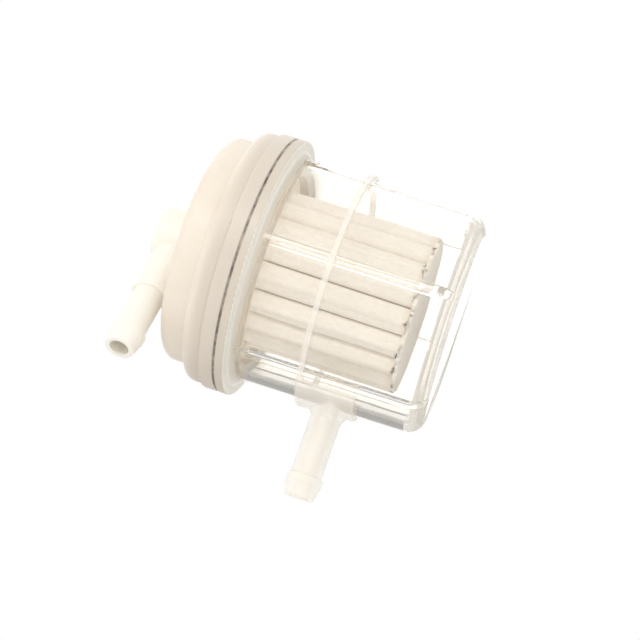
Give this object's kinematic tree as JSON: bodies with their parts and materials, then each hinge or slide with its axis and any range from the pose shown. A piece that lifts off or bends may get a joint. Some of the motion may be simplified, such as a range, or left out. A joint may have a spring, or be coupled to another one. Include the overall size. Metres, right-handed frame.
{
  "type": "fuel filter",
  "caption": "Round in-line fuel filter with a clear ribbed cup, a moulded cap, a barbed hose spigot on each and a pleated paper element inside.",
  "frame": {"origin": "on the filter's axis, in the plane of the cup's flat base", "axes": "+Z along the filter's axis towards the cap, +X along the side spigot away from the cup, +Y completes a right-handed frame"},
  "size_m": [0.0876, 0.0684, 0.0807],
  "materials": {
    "cap_nylon": "satin, milky and slightly see-through",
    "cup_clear": "clear and glossy",
    "band_nylon": "satin, milky and slightly see-through",
    "seal_rubber": "matt, dark",
    "carrier_nylon": "satin, milky",
    "potting": "matt adhesive",
    "filter_paper": "matt fibrous paper",
    "core_plastic": "satin",
    "end_potting": "matt adhesive"
  },
  "bodies": {
    "root": {"cap": "cap_nylon", "cup": "cup_clear", "saddle_band": "band_nylon", "flange_seal": "seal_rubber", "carrier_plate": "carrier_nylon", "top_potting": "potting", "filter_media": "filter_paper", "core_tube": "core_plastic", "end_disc": "end_potting"}
  },
  "joints": []
}
